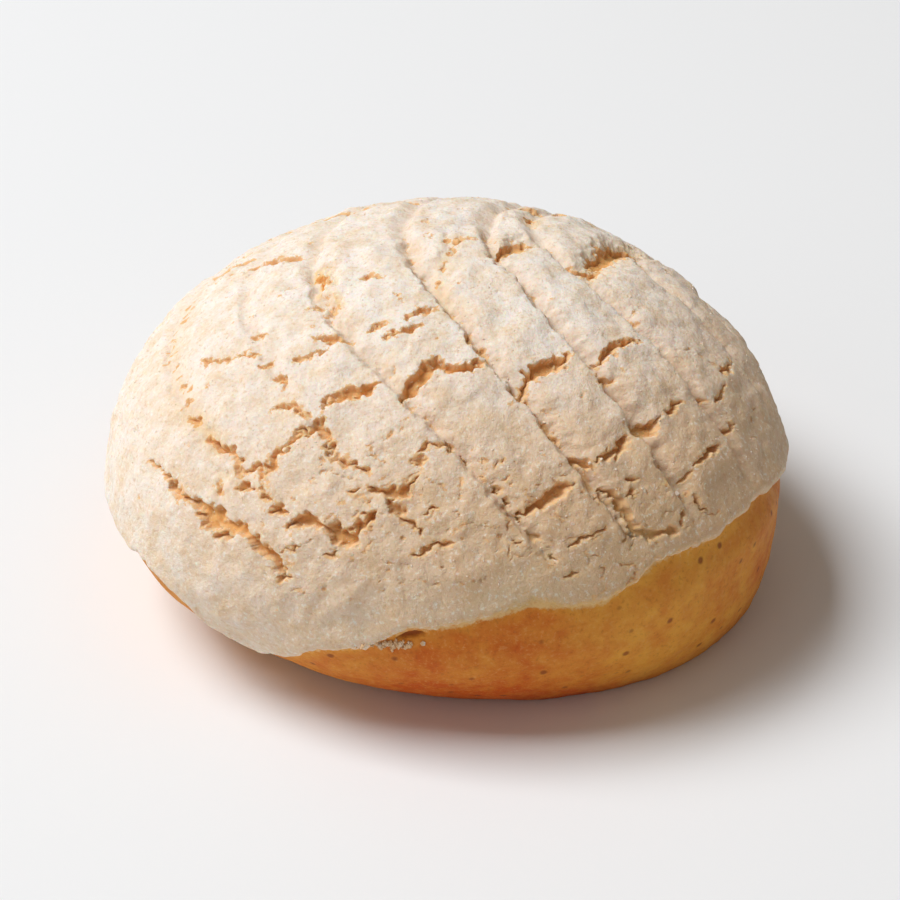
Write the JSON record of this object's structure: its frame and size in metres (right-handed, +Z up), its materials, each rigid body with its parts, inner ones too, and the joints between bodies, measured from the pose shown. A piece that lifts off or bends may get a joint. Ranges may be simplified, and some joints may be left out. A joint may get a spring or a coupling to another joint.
{
  "type": "vanilla concha sweet bun",
  "caption": "Round domed sweet bread bun with a flat foot, under a cracked pale vanilla sugar topping scored in curved shell ribs that hangs lower on one side.",
  "frame": {"origin": "middle of the bounding box's bottom face, on the surface that the bun rests on", "axes": "+Z up through the crown; +X towards the side where most bread shows below the topping; -Y towards the front of the view"},
  "size_m": [0.1157, 0.1099, 0.058],
  "materials": {
    "baked_crust": "golden baked bread crust, finely pebbled, mottled from pale yellow to orange with small brown freckles, faint soft sheen",
    "sugar_paste": "dry cream-coloured sugar paste, sandy and crumbly, fully matte, tan and orange-brown inside its cracks"
  },
  "bodies": {
    "root": {"bun": "baked_crust", "sugar_topping": "sugar_paste"}
  },
  "joints": []
}
